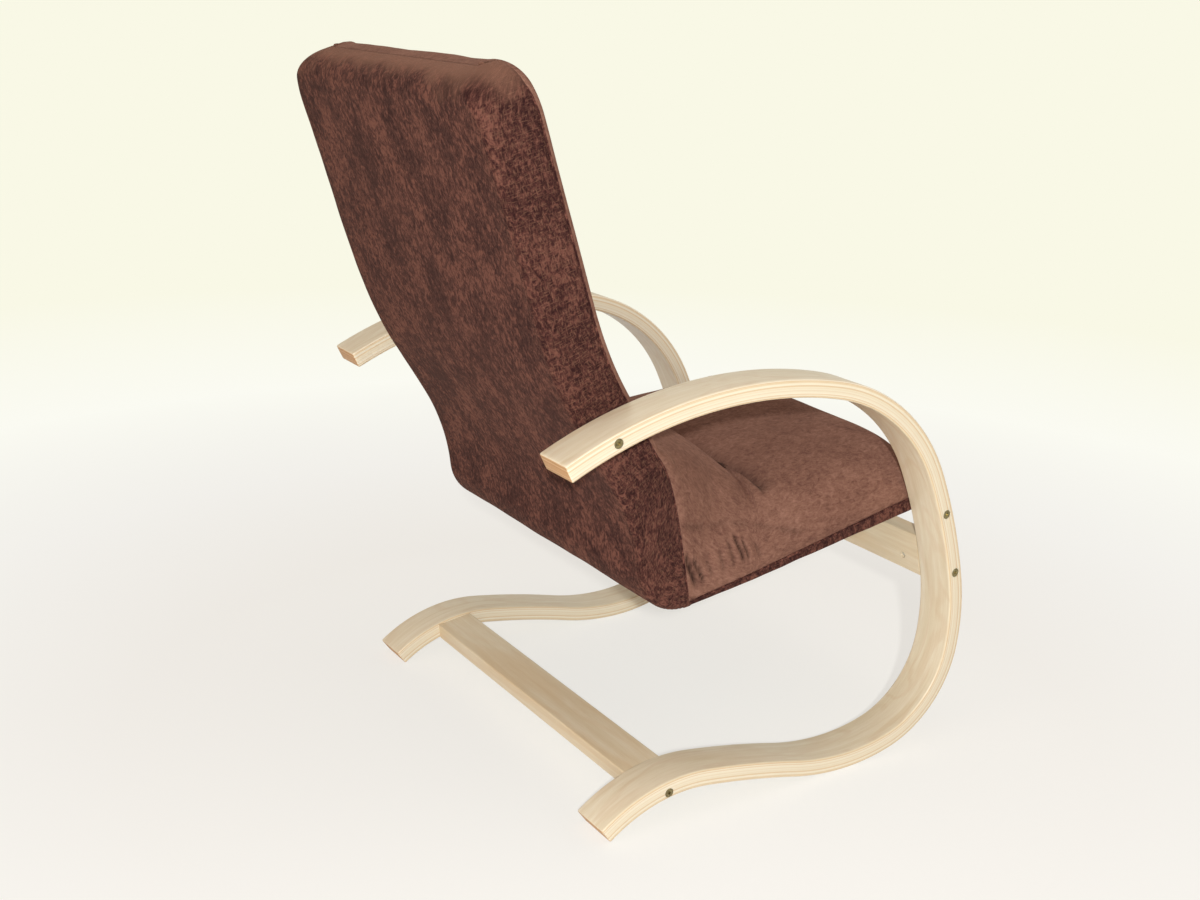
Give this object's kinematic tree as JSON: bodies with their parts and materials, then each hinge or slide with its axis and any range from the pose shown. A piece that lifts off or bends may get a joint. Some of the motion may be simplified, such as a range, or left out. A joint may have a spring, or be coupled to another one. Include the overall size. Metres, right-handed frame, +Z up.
{
  "type": "cantilever lounge chair",
  "caption": "Lounge chair with a tall upholstered shell hung between two bentwood cantilever side frames joined by flat rails.",
  "frame": {"origin": "centre of the chair's bounding box, on the floor", "axes": "+Z up; -Y to the front, where the sitter looks; +X to the sitter's left"},
  "size_m": [0.65, 0.7397, 0.9367],
  "materials": {
    "birch_laminate": "clear satin lacquer over laminated birch, glue lines along the edges",
    "birch_board": "clear satin lacquer over birch",
    "dowel_beech": "bare",
    "shell_wood": "bare, inside the upholstery",
    "bolt_brass": "yellow passivated, dulled",
    "nut_steel": "zinc plated",
    "webbing": "woven elastic",
    "foam": "open cell foam under a thin wadding",
    "chenille_dark": "dark brown chenille with a mottled nap",
    "chenille_light": "reddish brown chenille with a mottled nap",
    "dust_cloth": "thin black non-woven cloth"
  },
  "bodies": {
    "root": {"side_frame_left": "birch_laminate", "side_frame_right": "birch_laminate", "front_rail": "birch_board", "rear_rail": "birch_board", "front_rail_bolts": "bolt_brass", "rear_rail_bolts": "bolt_brass", "front_rail_nuts": "nut_steel", "rear_rail_nuts": "nut_steel", "front_rail_dowels": "dowel_beech", "rear_rail_dowels": "dowel_beech", "arm_bolts": "bolt_brass", "seat_bolts": "bolt_brass", "arm_inserts": "nut_steel", "seat_inserts": "nut_steel", "shell_side_left": "shell_wood", "shell_side_right": "shell_wood", "top_cross_rail": "shell_wood", "lumbar_cross_rail": "shell_wood", "seat_rear_cross_rail": "shell_wood", "seat_front_cross_rail": "shell_wood", "cross_rail_screws": "nut_steel", "back_webbing": "webbing", "seat_webbing": "webbing", "back_foam": "foam", "seat_foam": "foam", "rear_cover": "chenille_dark", "front_cover": "chenille_light", "seat_band": "chenille_dark", "underside_cloth": "dust_cloth"}
  },
  "joints": []
}
